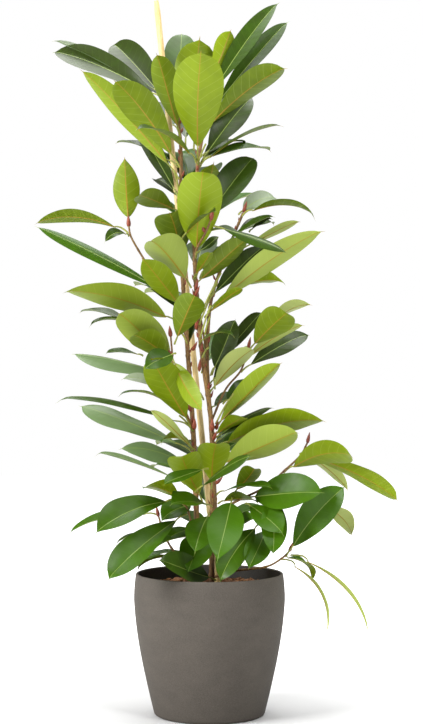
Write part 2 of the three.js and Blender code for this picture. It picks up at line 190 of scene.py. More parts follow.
# Smaller leaves between them, in the same form.
SMALL_LEAVES = {
    "crown": [
        ((-60, 12, 1014), (-276, 154, 1149), 26, 30, 10),
        ((-48, -14, 952), (-86, -37, 1088), 42, -62, 6, {"fold": 0.6, "tone_and_sheen": 0.5}),
        ((-26, -4, 932), (-16, 40, 1127), 72, -76, 6, {"shape": (1.0, 0.4), "tone_and_sheen": 0.6}),
        ((2, 6, 1047), (35, 26, 1137), 34, -60, 4, {"tone_and_sheen": 0.9}),
        ((-50, -8, 851), (-119, 47, 978), 32, 50, 6),
        ((-52, -6, 904), (-161, 90, 962), 30, 10, 8),
        ((-14, 2, 922), (64, 86, 961), 26, 20, 6),
        ((-12, 0, 915), (107, 102, 947), 40, 24, 10),
        ((-20, -4, 905), (32, 60, 966), 24, 60, 4),
        ((-50, 6, 961), (-127, 157, 1034), 44, 10, 12),
        ((-20, 2, 950), (31, 173, 1057), 48, 20, 10),
        ((-40, 8, 941), (-33, 185, 1017), 50, 0, 14),
    ],
    "upper": [
        ((-22, -8, 794), (6, 33, 916), 50, -62, 4),
        ((-20, -40, 785), (47, -69, 794), 22, 20, 8),
        ((-48, -8, 849), (-96, 62, 894), 34, 40, 6),
        ((-44, -18, 744), (-65, -88, 825), 62, -66, 6),
        ((-111, -28, 639), (-195, -60, 647), 26, 10, 8),
        ((-119, -30, 639), (-218, 28, 671), 30, 10, 6),
        ((48, 12, 827), (113, 44, 862), 38, 46, 6, {"shape": (0.7, 0.5), "tone_and_sheen": 1.7}),
        ((22, 14, 776), (106, -21, 824), 30, 28, 4),
        ((66, 8, 798), (102, -12, 820), 22, 40, 3),
        ((40, 10, 793), (111, 82, 822), 34, 26, 6),
        ((52, 0, 768), (149, -17, 818), 20, -40, 2, {"tone_and_sheen": 1.5}),
        ((45, -4, 706), (126, -33, 714), 34, -34, 9, {"shape": (1.0, 0.9), "tone_and_sheen": 0.6}),
        ((-8, -16, 655), (55, -68, 703), 20, -30, 5),
        ((-4, 4, 682), (95, 27, 781), 34, 50, 4),
        ((-20, -20, 761), (14, -26, 790), 16, 60, 2),
        ((-26, -22, 719), (2, -86, 761), 22, -20, 4),
        ((-44, -44, 784), (10, -140, 822), 30, 34, 4),
        ((-132, -34, 788), (-169, -60, 781), 20, 45, 9),
    ],
    "middle": [
        ((-59, -46, 585), (-123, -101, 629), 50, -50, 6),
        ((-54, -90, 596), (-102, -122, 574), 36, 62, 3, {"shape": (0.7, 0.6), "tone_and_sheen": 0.4}),
        ((-36, -12, 598), (-36, 14, 682), 30, 60, 4),
        ((-109, -20, 592), (-171, -26, 598), 22, 20, 4),
        ((-62, -14, 526), (-142, -37, 558), 26, 42, 10, {"tone_and_sheen": 1.9}),
        ((-30, -16, 472), (-93, -120, 592), 60, -52, 8, {"shape": (0.9, 0.62), "tone_and_sheen": 0.55}),
        ((-61, -60, 592), (-9, -112, 503), 40, -50, -4, {"shape": (0.9, 0.8), "tone_and_sheen": 0.85}),
        ((-60, -20, 507), (-148, -49, 531), 26, 0, 12),
        ((4, 10, 560), (42, 19, 656), 42, 46, 4),
        ((-16, -20, 612), (39, -81, 629), 24, 20, 8),
        ((8, 22, 575), (89, 48, 669), 32, 34, 4),
        ((90, 6, 640), (168, 26, 682), 32, -36, 4, {"shape": (1.0, 0.8), "tone_and_sheen": 1.6}),
        ((52, 6, 580), (156, -17, 645), 26, -42, 6, {"tone_and_sheen": 1.4}),
        ((0, 14, 530), (74, -27, 606), 38, -42, 6, {"tone_and_sheen": 1.7}),
        ((0, 20, 545), (47, 49, 588), 34, 58, 4),
        ((22, 20, 512), (83, 49, 548), 38, 46, 6, {"shape": (0.6, 0.5)}),
        ((6, -14, 453), (103, -28, 512), 32, 28, 4, {"fold": -0.2}),
        ((4, -14, 456), (59, -66, 495), 34, -30, 6),
        ((0, 16, 500), (61, 80, 521), 36, 10, 10),
    ],
    "lower": [
        ((-24, -14, 437), (-97, -66, 509), 20, -44, -4, {"tone_and_sheen": 1.6}),
        ((-26, -10, 448), (-81, -39, 456), 26, -36, 8, {"tone_and_sheen": 1.0}),
        ((-26, -12, 405), (-143, -82, 446), 44, 45, 10, {"fold": -0.2, "tone_and_sheen": 1.3}),
        ((-40, -6, 380), (-192, 32, 434), 14, 28, 8, {"hook": 12, "tone_and_sheen": 1.4}),
        ((-26, -2, 396), (-98, 59, 409), 40, 26, 8),
        ((-83, -35, 331), (-234, -28, 305), 30, 20, 12),
        ((-65, -26, 293), (-155, -46, 290), 26, -6, 8),
        ((-40, -30, 352), (-108, -88, 382), 44, -34, 8),
        ((4, -20, 344), (-61, -122, 359), 50, 40, 6, {"tone_and_sheen": 0.7}),
        ((-24, -10, 347), (-79, -45, 326), 42, 44, 6),
        ((-26, -12, 307), (-69, -53, 297), 30, 30, 4),
        ((-22, -10, 293), (-90, -85, 286), 30, 10, 6),
        ((-30, -12, 269), (-111, -24, 258), 26, 10, 6),
        ((-40, -16, 258), (-123, 22, 238), 26, 0, 10),
        ((-12, -18, 353), (-45, -125, 439), 54, -66, 4, {"shape": (0.8, 0.3), "tone_and_sheen": 0.9}),
        ((-23, -62, 371), (66, -146, 437), 30, 42, 4, {"fold": -0.2, "tone_and_sheen": 0.3}),
        ((-2, -72, 410), (-73, -133, 390), 26, 44, 4),
        ((0, -18, 334), (-23, -125, 284), 48, 52, 6),
        ((10, -44, 226), (-78, -122, 271), 48, 58, 3, {"tone_and_sheen": 0.3}),
        ((-8, -14, 307), (-35, -98, 248), 54, 56, 6),
        ((14, -20, 252), (33, -78, 271), 26, 20, 4),
        ((10, 6, 425), (75, 55, 459), 40, 44, 4),
        ((147, -50, 433), (231, -6, 370), 26, -34, 12, {"tone_and_sheen": 1.6}),
        ((116, -40, 260), (191, -78, 141), 11, -30, 30, {"tone_and_sheen": 1.5}),
        ((116, -40, 261), (172, -11, 224), 28, 10, 14),
        ((98, -56, 380), (101, -120, 277), 42, 50, 6),
        ((83, -50, 321), (16, -117, 235), 48, 44, 8),
        ((94, -52, 313), (62, -116, 255), 42, 52, 6),
        ((40, -30, 366), (74, -74, 413), 34, -56, 4, {"shape": (0.8, 0.4), "tone_and_sheen": 0.2}),
        ((12, -20, 364), (100, -101, 383), 30, 20, 8),
        ((14, -18, 349), (79, -88, 357), 38, -36, 8, {"tone_and_sheen": 0.1}),
        ((30, -28, 293), (70, -92, 334), 38, 50, 4),
        ((178, -50, 352), (234, -56, 302), 36, -46, 8, {"tone_and_sheen": 1.8}),
    ],
    "back": [
        ((4, 26, 287), (-74, 162, 315), 50, 0, 14),
        ((14, 26, 297), (115, 133, 329), 52, 0, 16),
        ((-2, 28, 398), (-94, 138, 443), 52, 0, 14),
        ((6, 28, 439), (105, 147, 485), 50, 0, 14),
        ((-10, 28, 519), (-105, 147, 570), 52, 0, 14),
        ((2, 28, 560), (64, 190, 601), 50, 0, 14),
        ((-14, 28, 651), (-115, 132, 705), 50, 0, 14),
        ((-16, 32, 722), (43, 174, 782), 50, 0, 12),
        ((-30, 26, 802), (-125, 119, 861), 48, 0, 12),
        ((-28, 36, 853), (10, 187, 931), 48, 0, 12),
        ((-28, 36, 861), (-74, 158, 950), 46, 0, 10),
    ],
}

BACK_LEAVES = 8
BACK_FIRST_HEIGHT = 330
BACK_FIRST_ANGLE = 60
BACK_RISE = 78
BACK_TURN = 57
BACK_REACH = 205
BACK_LIFT = 78
BACK_WIDTH = 54

# Leaf stalks that run along the stems: foot and tip.
STALKS = [
    ((-18, -22, 652), (19, -28, 728)), ((-17, -22, 643), (13, -22, 712)),
    ((-15, -22, 622), (2, -26, 675)), ((-8, -22, 626), (1, -30, 656)),
    ((-12, -24, 589), (-1, -30, 606)), ((10, -18, 480), (40, -34, 531)),
    ((12, -18, 476), (54, -22, 525)), ((9, -10, 537), (7, -16, 556)),
    ((-36, -14, 611), (-50, -30, 634)), ((-28, -14, 468), (-50, -20, 494)),
    ((-28, -14, 437), (-50, -24, 468)), ((-46, -14, 668), (-56, -24, 706)),
    ((-24, -20, 716), (-10, -30, 748)), ((-20, -14, 905), (-6, -26, 940)),
    ((-50, -10, 862), (-58, -24, 896)),
]

# Closed buds at the ends of shoots and in leaf corners: foot, tip, thickness.
BUDS = [
    ((-132, -31, 802), (-133, -33, 823), 6), ((-6, 4, 1013), (0, 8, 1041), 5),
    ((-60, 4, 1015), (-66, 8, 1041), 5), ((2, -82, 809), (6, -86, 830), 6),
    ((-7, -64, 791), (-14, -70, 807), 5), ((159, -50, 449), (163, -50, 468), 5),
    ((-63, -48, 622), (-65, -50, 641), 6), ((-59, -47, 590), (-69, -54, 604), 5),
    ((64, 2, 603), (68, 0, 624), 5), ((56, 8, 830), (62, 6, 849), 5),
    ((-83, -35, 328), (-87, -37, 347), 5), ((130, -42, 272), (136, -43, 288), 5),
    ((-30, 34, 862), (-32, 36, 888), 5), ((6, -20, 453), (12, -30, 469), 5),
    ((-28, -16, 600), (-20, -26, 616), 5), ((-24, -20, 689), (-16, -30, 707), 5),
    ((10, -20, 381), (22, -28, 394), 5), ((-30, -14, 500), (-38, -24, 515), 5),
    ((-22, -20, 634), (-20, -26, 660), 5), ((-13, -24, 598), (-11, -28, 613), 5),
    ((-17, -22, 566), (-15, -26, 588), 5), ((4, -20, 468), (5, -26, 488), 7),
    ((-26, -16, 470), (-24, -22, 489), 7), ((11, -16, 470), (14, -20, 486), 5),
    ((-23, -22, 700), (-19, -28, 718), 5), ((-47, -16, 756), (-50, -20, 776), 5),
    ((-22, -18, 860), (-18, -24, 880), 5),
]


# --- small helpers ---

def linear(hex_colour):
    """An sRGB hex colour as linear RGBA."""
    parts = [int(hex_colour[i:i + 2], 16) / 255 for i in (1, 3, 5)]
    return tuple(c / 12.92 if c <= 0.04045 else ((c + 0.055) / 1.055) ** 2.4 for c in parts) + (1.0,)


def add(tree, kind, settings=None, links=None):
    """Adds a node: settings are its own properties, links its inputs, each a value or another's output."""
    made = tree.nodes.new(kind)
    for key, value in (settings or {}).items():
        setattr(made, key, value)
    for key, value in (links or {}).items():
        if isinstance(value, bpy.types.NodeSocket):
            tree.links.new(value, made.inputs[key])
        else:
            made.inputs[key].default_value = value
    return made


def material(name):
    """A new node material, emptied, with its output node."""
    made = bpy.data.materials.new(name)
    made.use_nodes = True
    made.node_tree.nodes.clear()
    return made, made.node_tree, add(made.node_tree, "ShaderNodeOutputMaterial")


def mesh_object(name, points, faces, smooth=True):
    """A piece from points in millimetres and faces."""
    mesh = bpy.data.meshes.new(name)
    mesh.from_pydata([tuple(c * MM for c in p) for p in points], [], faces)
    mesh.update()
    if smooth:
        mesh.polygons.foreach_set("use_smooth", [True] * len(mesh.polygons))
    made = bpy.data.objects.new(name, mesh)
    scene.collection.objects.link(made)
    return made


def join(points, faces, more_points, more_faces):
    """Adds a body to the points and faces of those before it."""
    faces += [tuple(i + len(points) for i in face) for face in more_faces]
    points += more_points


def place(piece, slot, *nodes):
    """Fixes a finished piece to the plant in place of these CAD nodes, which it hides; slot is not used."""
    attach(piece, "root")
    if nodes:
        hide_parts(*nodes)


def baked(source, name):
    """A plain mesh piece from an object whose modifiers make its shape."""
    bpy.context.view_layer.update()
    evaluated = source.evaluated_get(bpy.context.evaluated_depsgraph_get())
    mesh = bpy.data.meshes.new_from_object(evaluated)
    mesh.name = name
    made = bpy.data.objects.new(name, mesh)
    scene.collection.objects.link(made)
    bpy.data.objects.remove(source)
    return made


# --- materials ---

def leaf_material(name, deep, fresh, painted_sheen, rib, vein, roughness, gloss, glow, glow_share, rib_half,
                  vein_strength, bump_way):
    """One side of a living fig leaf. deep and fresh are the blade's own colours at values 0 and 1 of its
    tone_and_sheen, and painted_sheen, at 2, is painted sheen: a whitish colour standing for the lamps'
    reflection. rib and vein are those of its midrib and side veins, glow the light it lets through."""
    made, tree, out = material(name)
    spot = add(tree, "ShaderNodeAttribute", {"attribute_name": "leaf_place"})
    tone_and_sheen = add(tree, "ShaderNodeAttribute", {"attribute_name": "leaf_tone_and_sheen"})
    split = add(tree, "ShaderNodeSeparateXYZ", links={0: spot.outputs["Vector"]})
    across = add(tree, "ShaderNodeMath", {"operation": "ABSOLUTE"}, {0: split.outputs[0]})

    # The midrib tapers to the tip: rib_half is its half width in millimetres at the foot.
    reach = add(tree, "ShaderNodeMapRange", links={
        "Value": split.outputs[2], "From Min": 0.0, "From Max": 1.0,
        "To Min": rib_half, "To Max": rib_half * 0.35})
    near = add(tree, "ShaderNodeMath", {"operation": "DIVIDE"}, {0: across.outputs[0], 1: reach.outputs[0]})
    ribbed = add(tree, "ShaderNodeMapRange", {"interpolation_type": "SMOOTHSTEP"}, {
        "Value": near.outputs[0], "From Min": 0.6, "From Max": 1.5, "To Min": 1.0, "To Max": 0.0})

    # Side veins leave the midrib at even steps and curve towards the tip.
    lean = add(tree, "ShaderNodeMath", {"operation": "POWER"}, {0: across.outputs[0], 1: VEIN_CURVE})
    back = add(tree, "ShaderNodeMath", {"operation": "MULTIPLY"}, {0: lean.outputs[0], 1: VEIN_SWEEP})
    run = add(tree, "ShaderNodeMath", {"operation": "SUBTRACT"}, {0: split.outputs[1], 1: back.outputs[0]})
    wobble = add(tree, "ShaderNodeTexNoise", links={
        "Vector": spot.outputs["Vector"], "Scale": 0.02, "Detail": 0.0})
    sway = add(tree, "ShaderNodeMath", {"operation": "MULTIPLY_ADD"}, {
        0: wobble.outputs[0], 1: VEIN_WANDER, 2: run.outputs[0]})
    wave = add(tree, "ShaderNodeMath", {"operation": "PINGPONG"}, {0: sway.outputs[0], 1: VEIN_SPACING / 2})
    veined = add(tree, "ShaderNodeMapRange", {"interpolation_type": "SMOOTHSTEP"}, {
        "Value": wave.outputs[0], "From Min": 0.1, "From Max": 0.9, "To Min": vein_strength, "To Max": 0.0})

    # Broad blotches, 20 mm across, make the blade fresher or deeper.
    blotch = add(tree, "ShaderNodeTexNoise", links={
        "Vector": spot.outputs["Vector"], "Scale": 0.05, "Detail": 3.0})
    age = add(tree, "ShaderNodeMath", {"operation": "MULTIPLY_ADD", "use_clamp": True}, {
        0: blotch.outputs[0], 1: 0.5, 2: tone_and_sheen.outputs["Fac"]})
    aged = add(tree, "ShaderNodeMath", {"operation": "SUBTRACT", "use_clamp": True}, {
        0: age.outputs[0], 1: 0.25})
    blade = add(tree, "ShaderNodeMix", {"data_type": "RGBA"}, {
        0: aged.outputs[0], 6: linear(deep), 7: linear(fresh)})
    # Painted sheen: a tone_and_sheen above 1 mixes in a whitish colour standing for the lamps' reflection on
    # the blade.
    painted_sheen_share = add(tree, "ShaderNodeMath", {"operation": "SUBTRACT", "use_clamp": True}, {
        0: tone_and_sheen.outputs["Fac"], 1: 1.0})
    with_painted_sheen = add(tree, "ShaderNodeMix", {"data_type": "RGBA"}, {
        0: painted_sheen_share.outputs[0], 6: blade.outputs[2], 7: linear(painted_sheen)})
    with_veins = add(tree, "ShaderNodeMix", {"data_type": "RGBA"}, {
        0: veined.outputs[0], 6: with_painted_sheen.outputs[2], 7: linear(vein)})
    colour = add(tree, "ShaderNodeMix", {"data_type": "RGBA"}, {
        0: ribbed.outputs[0], 6: with_veins.outputs[2], 7: linear(rib)})

    relief = add(tree, "ShaderNodeMath", {"operation": "MULTIPLY"}, {
        0: wave.outputs[0], 1: bump_way * VEIN_RELIEF})
    bump = add(tree, "ShaderNodeBump", links={
        "Height": relief.outputs[0], "Strength": 0.5, "Distance": 0.8 * MM})
    skin = add(tree, "ShaderNodeBsdfPrincipled", links={
        "Base Color": colour.outputs[2], "Roughness": roughness, "IOR": 1.45, "Specular IOR Level": gloss,
        "Normal": bump.outputs[0]})
    through = add(tree, "ShaderNodeMix", {"data_type": "RGBA", "blend_type": "MULTIPLY"}, {
        0: 0.35, 6: linear(glow), 7: colour.outputs[2]})
    lit = add(tree, "ShaderNodeBsdfTranslucent", links={"Color": through.outputs[2]})
    both = add(tree, "ShaderNodeMixShader", links={0: glow_share, 1: skin.outputs[0], 2: lit.outputs[0]})
    tree.links.new(both.outputs[0], out.inputs[0])
    return made


def grained_material(name, dark, light, grain_mm, roughness, bump_mm, stretch=(1, 1, 1), contrast=(0.35, 0.7),
                     patches=0.35):
    """A matt surface of two mixed colours whose grain has a real size and may be drawn out along an axis."""
    made, tree, out = material(name)
    here = add(tree, "ShaderNodeTexCoord")
    turned = add(tree, "ShaderNodeMapping", links={"Vector": here.outputs["Object"], "Scale": stretch})
    grain = add(tree, "ShaderNodeTexNoise", links={
        "Vector": turned.outputs[0], "Scale": 1 / (grain_mm * MM), "Detail": 5.0, "Roughness": 0.65})
    patch = add(tree, "ShaderNodeTexNoise", links={
        "Vector": turned.outputs[0], "Scale": 1 / (grain_mm * 25 * MM), "Detail": 2.0})
    mixed = add(tree, "ShaderNodeMath", {"operation": "MULTIPLY_ADD"}, {
        0: patch.outputs[0], 1: patches, 2: grain.outputs[0]})
    share = add(tree, "ShaderNodeMapRange", links={
        "Value": mixed.outputs[0],
        "From Min": contrast[0] + patches / 2, "From Max": contrast[1] + patches / 2})
    colour = add(tree, "ShaderNodeMix", {"data_type": "RGBA"}, {
        0: share.outputs[0], 6: linear(dark), 7: linear(light)})
    bump = add(tree, "ShaderNodeBump", links={
        "Height": grain.outputs[0], "Strength": 0.8, "Distance": bump_mm * MM})
    skin = add(tree, "ShaderNodeBsdfPrincipled", links={
        "Base Color": colour.outputs[2], "Roughness": roughness, "Normal": bump.outputs[0]})
    tree.links.new(skin.outputs[0], out.inputs[0])
    return made


# Each side's third colour is painted sheen: a whitish reflection of the lamps, mixed in where a leaf's
# tone_and_sheen passes 1.
leaf_upper = leaf_material("waxy_leaf_upper_side", "#2b380f", "#3e6900", "#8f9a80", "#86984c", "#54702a",
                           0.34, 0.22, "#8fa800", 0.08, 0.6, 0.18, 1)
leaf_under = leaf_material("matt_leaf_underside", "#455a00", "#8a9f06", "#bfc97c", "#a07e26", "#a8b650",
                           0.45, 0.35, "#a0b800", 0.18, 1.1, 0.32, -1)
petiole_skin = grained_material("green_leaf_stalk", "#6d7a26", "#a2a044", 1.2, 0.5, 0.1, (1, 1, 0.3))
bark = grained_material("young_fig_bark", "#4a2b14", "#957339", 2.2, 0.65, 0.5, (1, 1, 0.35))
bud_skin = grained_material("dry_bud_scale", "#5e2014", "#9c4a26", 1.6, 0.5, 0.2, (1, 1, 0.4))
stake_wood = grained_material("peeled_stake_wood", "#d3b071", "#f2e0a6", 1.4, 0.6, 0.2, (1, 1, 0.06))
pot_stone = grained_material("stone_filled_composite", "#2f2a25", "#5d564d", 1.4, 0.8, 0.3, (1, 1, 1.8),
                             (0.2, 0.8), 0.2)
# Painted shade: the planter's inside is coloured darker and greyer than its outside stone, for the shade
# within it.
pot_inside_painted_shade = grained_material("planter_inside_painted_shade", "#2a2826", "#403d39", 1.5, 0.9, 0.2)
potting_soil = grained_material("potting_soil", "#1a120d", "#4a3323", 2.5, 0.95, 1.5)
bark_chip = grained_material("coconut_bark_chip", "#4c2d18", "#a06c42", 3.0, 0.8, 0.6)


# --- leaves ---

ACROSS = (-1, -0.82, -0.58, -0.33, -0.1, 0, 0.1, 0.33, 0.58, 0.82, 1)  # places over a blade's half width
ALONG = 26  # steps from its foot to its tip
UNDERSIDE_TONES = (0.05, 0.8)
LOWER_TONES = (0.45, 0.85)
UPPER_TONES = (0.0, 0.35)


def unit(v):
    return v / np.linalg.norm(v)


def blade_half(t, rise, fall):
    """The blade's half width at a share t of its length, as a share of its full width. rise and fall shape
    its foot and its end: above 1 the foot is a narrow wedge, below 1 the end is blunt before its point."""
    body = min(t / POINT_FROM, 1.0)
    widest = rise / (rise + fall)
    oval = 0.5 * (body / widest) ** rise * ((1 - body) / (1 - widest)) ** fall
    point = POINT_WIDTH * min((1 - t) / 0.1, 1.0)
    return math.hypot(oval, point * min(t * 12, 1))


def habit_of(own, rng):
    """How one leaf grows: a value of its own where it has one, else one drawn at random."""
    return {
        "fold": own.get("fold", rng.uniform(0.14, 0.42)),  # rise of the edges, as a share of the half width
        "shape": own.get("shape", (rng.uniform(0.8, 1.15), rng.uniform(0.5, 0.78))),  # rise and fall
        "twist": own.get("twist", rng.uniform(-0.35, 0.35)),  # in radians from foot to tip
        "wave": rng.uniform(0.03, 0.09),
        "beat": rng.uniform(1.0, 2.0),
        "phase": rng.uniform(0, 6),
        "droop": own.get("droop", rng.uniform(0, 6)),  # fall of the outer blade, in millimetres
        "hook": own.get("hook", rng.uniform(2, 8)),  # fall of the tip
        "sway": rng.uniform(-4, 4),
    }


def blade_course(foot, tip, turn, arch, habit):
    """A leaf's upward way, and its course: the centre, side and upward way at a share t of the blade."""
    chord = tip - foot
    along = unit(chord)
    angle = math.radians(turn)
    up = np.array((0, -math.sin(angle), math.cos(angle)))
    up = unit(up - along * (up @ along))
    side = np.cross(along, up)

    def course(t):
        share = PETIOLE_SHARE + (1 - PETIOLE_SHARE) * t
        fall = habit["droop"] * max(t - 0.6, 0) ** 2 / 0.16 + habit["hook"] * max(t - 0.9, 0) ** 2 / 0.01
        centre = foot + chord * share + up * arch * 4 * share * (1 - share)
        centre = centre - up * fall + side * habit["sway"] * 4 * t * (1 - t)
        way = unit(chord + up * arch * 4 * (1 - 2 * share))
        high = unit(up - way * (up @ way))
        cos, sin = math.cos(habit["twist"] * (t - 0.4)), math.sin(habit["twist"] * (t - 0.4))
        return centre, side * cos + high * sin, high * cos - side * sin

    return up, course


def blade_points(course, width, length, habit):
    """A blade's points, their places on it, and their numbers in its upper and its lower grid, which share
    the points of the edge."""
    points, places, grids = [], [], ([], [])
    for i in range(ALONG + 1):
        t = i / ALONG
        centre, across, high = course(t)
        half = blade_half(t, *habit["shape"]) * width
        rows = ([], [])
        for u in ACROSS:
            ripple = math.sin(habit["beat"] * 6.28 * t + habit["phase"] + (2.2 if u > 0 else 0))
            lift = half * (habit["fold"] * abs(u) ** 1.4 + habit["wave"] * u * u * ripple)
            rib = u == 0
            edge = abs(u) == 1 or i in (0, ALONG)
            above, below = SHEET_HALF - RIB_GROOVE * rib, -SHEET_HALF - RIB_RIDGE * rib * (1 - t)
            for grid, thick in enumerate((above, below)):
                if grid and edge:
                    rows[1].append(rows[0][-1])
                    continue
                rows[grid].append(len(points))
                points.append(centre + across * half * u + high * (lift + (0 if edge else thick)))
                places.append((half * u, length * t, t))
        grids[0].append(rows[0])
        grids[1].append(rows[1])
    return points, places, grids


def blade_faces(grids):
    """The faces of both grids, cut by the same diagonals, and their sides: 0 above and 1 below."""
    faces, sides = [], []
    for which, grid in enumerate(grids):
        for near, far in zip(grid, grid[1:]):
            for j in range(len(ACROSS) - 1):
                faces.append((near[j], far[j], far[j + 1], near[j + 1]) if which else
                             (near[j], near[j + 1], far[j + 1], far[j]))
                sides.append(which)
    return faces, sides


def leaf_stalk(foot, arch, up, course):
    """The round stalk from a leaf's foot to its blade."""
    end, across, high = course(0.03)
    steps = (0, 0.25, 0.5, 0.75, 1)
    points, faces = [], []
    for k, s in enumerate(steps):
        centre = foot + (end - foot) * s + up * arch * 0.3 * math.sin(math.pi * s)
        radius = STALK_RADIUS - STALK_TAPER * k
        for j in range(STALK_SIDES):
            a = 2 * math.pi * j / STALK_SIDES
            points.append(centre + across * radius * math.cos(a) + high * radius * math.sin(a))
    for k in range(len(steps) - 1):
        for j in range(STALK_SIDES):
            a, b = k * STALK_SIDES + j, k * STALK_SIDES + (j + 1) % STALK_SIDES
            faces.append((a, a + STALK_SIDES, b + STALK_SIDES, b))
    last = len(points) - 1
    faces += [tuple(range(STALK_SIDES)), tuple(last - j for j in range(STALK_SIDES))]
    return points, faces


def leaf(row, rng):
    """Points, faces, sides and places of one leaf with its stalk, whose side is 2."""
    foot, tip, width, turn, arch, *own = row
    foot, tip = np.array(foot, float), np.array(tip, float)
    habit = habit_of(own[0] if own else {}, rng)
    up, course = blade_course(foot, tip, turn, arch, habit)
    points, places, grids = blade_points(course, width, np.linalg.norm(tip - foot), habit)
    faces, sides = blade_faces(grids)
    stalk_points, stalk_faces = leaf_stalk(foot, arch, up, course)
    join(points, faces, stalk_points, stalk_faces)
    return points, faces, sides + [2] * len(stalk_faces), places + [(0, 0, 0)] * len(stalk_points)


def leaf_tone_and_sheen(row, name, rng):
    """A leaf's tone_and_sheen: 0 deep, 1 fresh and above 1 painted sheen, up to a whitish reflection of the
    lamps at 2, drawn by the side it shows unless it has its own.
    """
    if row[3] <= 0:
        drawn = rng.uniform(*UNDERSIDE_TONES)
    else:
        drawn = rng.uniform(*(LOWER_TONES if name.startswith("lower") else UPPER_TONES))
    return row[5].get("tone_and_sheen", drawn) if len(row) > 5 else drawn


def leaves_piece(name, rows, seed, nodes=()):
    """One piece of one or more leaves."""
    rng = random.Random(seed)
    points, faces, sides, places, tone_and_sheen_values = [], [], [], [], []
    for row in rows:
        leaf_points, leaf_faces, leaf_sides, leaf_places = leaf(row, rng)
        join(points, faces, leaf_points, leaf_faces)
        sides += leaf_sides
        places += leaf_places
        tone_and_sheen_values += [leaf_tone_and_sheen(row, name, rng)] * len(leaf_points)
    made = mesh_object(name, points, faces)
    mesh = made.data
    mesh.polygons.foreach_set("material_index", sides)
    mesh.attributes.new("leaf_place", "FLOAT_VECTOR", "POINT").data.foreach_set(
        "vector", np.array(places, np.float32).ravel())
    mesh.attributes.new("leaf_tone_and_sheen", "FLOAT", "POINT").data.foreach_set("value", tone_and_sheen_values)
    for skin in (leaf_upper, leaf_under, petiole_skin):
        mesh.materials.append(skin)
    mesh.set_sharp_from_angle(angle=math.radians(80))
    place(made, "leaf", *nodes)


def back_leaves():
    """The named leaves of the back, in a rising spiral."""
    rows = []
    for i in range(BACK_LEAVES):
        angle = math.radians(40 + (BACK_FIRST_ANGLE + i * BACK_TURN) % 100)
        height = BACK_FIRST_HEIGHT + i * BACK_RISE
        x, y = 5 - (height - 200) * 0.055, 24
        out = (math.cos(angle), math.sin(angle))
        reach = BACK_REACH - i * 5
        rows.append(((x + out[0] * 6, y + out[1] * 6, height),
                     (x + out[0] * reach, y + out[1] * reach, height + BACK_LIFT), BACK_WIDTH, 0, 16))
    return rows


for tier, rows in {**LEAVES, "back": back_leaves()}.items():
    for i, row in enumerate(rows):
        node = f"{tier}_leaf_{i + 1:02d}"
        leaves_piece(node + "_blade", [row], len(tier) * 100 + i, [node])
for tier, rows in SMALL_LEAVES.items():
    leaves_piece(tier + "_small_leaves", rows, len(tier) * 1000)


# --- stems, buds and stake ---

def smooth_route(points, step=4.0):
    """Evenly spaced points on a smooth curve through the route."""
    p = [np.array(q, float) for q in points]
    p = [2 * p[0] - p[1], *p, 2 * p[-1] - p[-2]]
    fine = []
    for a, b, c, d in zip(p, p[1:], p[2:], p[3:]):
        count = max(2, int(np.linalg.norm(c - b) / step))
        for k in range(count):
            t = k / count
            fine.append(0.5 * (2 * b + (c - a) * t + (2 * a - 5 * b + 4 * c - d) * t ** 2
                               + (3 * b - a - 3 * c + d) * t ** 3))
    return fine + [p[-2]]


def tube(route, radius_at, sides=12):
    """A closed tube along a route, its radius a function of the distance along it in millimetres."""
    points, faces, run = [], [], 0.0
    turn = np.array((0.0, 1.0, 0.0))
    for i, centre in enumerate(route):
        way = unit(route[min(i + 1, len(route) - 1)] - route[max(i - 1, 0)])
        first = unit(turn - way * (turn @ way))
        second = np.cross(way, first)
        run += np.linalg.norm(centre - route[i - 1]) if i else 0
        for j in range(sides):
            a = 2 * math.pi * j / sides
            points.append(centre + (first * math.cos(a) + second * math.sin(a)) * radius_at(run))
    for i in range(len(route) - 1):
        for j in range(sides):
            a, b = i * sides + j, i * sides + (j + 1) % sides
            faces.append((a, b, b + sides, a + sides))
    last = (len(route) - 1) * sides
    faces += [tuple(range(sides))[::-1], tuple(last + j for j in range(sides))]
    return points, faces


def stem_piece(name, shape, seed):
    """One stem with its twigs, swollen where its leaves once stood."""
    rng = random.Random(seed)
    points, faces = [], []
    routes = [(shape["route"], *shape["radii"])]
    routes += [(twig, shape["radii"][1] * 0.85, 1.5) for twig in shape["twigs"]]
    for route, thick, thin in routes:
        fine = smooth_route(route)
        length = sum(np.linalg.norm(b - a) for a, b in zip(fine, fine[1:]))
        spacing = rng.uniform(*JOINT_SPACING)

        def radius_at(run):
            taper = thick + (thin - thick) * run / length
            joint = abs((run / spacing) % 1 - 0.5) * 2
            return taper * (1 + JOINT_SWELLING * max(joint - 0.8, 0) / 0.2)

        join(points, faces, *tube(fine, radius_at))
    made = mesh_object(name + "_bark", points, faces)
    made.data.materials.append(bark)
    made.data.set_sharp_from_angle(angle=math.radians(60))
    place(made, "bark", name)


for i, (name, shape) in enumerate(STEMS.items()):
    stem_piece(name, shape, 40 + i)


def stem_scales(rng):
    """Dry scales left at the joints of the stems: foot, tip, thickness."""
    scales = []
    for shape in STEMS.values():
        route, run, due = smooth_route(shape["route"]), 0.0, 0.0
        for before, here in zip(route, route[1:]):
            run += np.linalg.norm(here - before)
            if run < due or here[2] < SCALES_FROM:
                continue
            due = run + rng.uniform(*SCALE_SPACING)
            angle = rng.uniform(0, 2 * math.pi)
            out = np.array((math.cos(angle), math.sin(angle), 0))
            rise = rng.uniform(7, 15)
            tip = here + out * rng.uniform(4.5, 8) + (0, 0, rise)
            scales.append((here + out * 2.6, tip, rng.uniform(2.4, 3.8)))
    return scales


